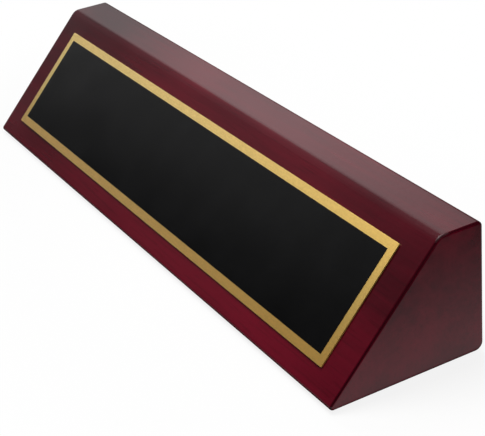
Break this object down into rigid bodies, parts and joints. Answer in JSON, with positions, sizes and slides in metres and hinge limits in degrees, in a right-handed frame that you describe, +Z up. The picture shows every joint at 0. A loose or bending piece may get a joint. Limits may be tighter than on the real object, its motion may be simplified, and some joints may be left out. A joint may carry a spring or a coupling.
{
  "type": "desk name plate",
  "caption": "Wedge-shaped desk name plate: a lacquered wooden block whose sloping face carries a black enamelled plate with a bare brass border, standing on felt feet.",
  "frame": {"origin": "on the desk, under the middle of the block", "axes": "+X along the plate to the reader's right, +Y from the reader to the back, +Z up"},
  "size_m": [0.2666, 0.0578, 0.0468],
  "materials": {
    "lacquered_wood": "dark red stained hardwood under satin-gloss lacquer",
    "satin_brass": "satin brass with a fine grain",
    "black_enamel": "smooth semi-gloss black enamel",
    "clear_adhesive": "thin double-sided adhesive film",
    "felt": "pressed wool felt, die-cut"
  },
  "bodies": {
    "root": {"wedge_block": "lacquered_wood", "plate_adhesive": "clear_adhesive", "brass_plate": "satin_brass", "enamel_field": "black_enamel", "felt_pad_front_left": "felt", "pad_adhesive_front_left": "clear_adhesive", "felt_pad_front_right": "felt", "pad_adhesive_front_right": "clear_adhesive", "felt_pad_back_left": "felt", "pad_adhesive_back_left": "clear_adhesive", "felt_pad_back_right": "felt", "pad_adhesive_back_right": "clear_adhesive"}
  },
  "joints": []
}
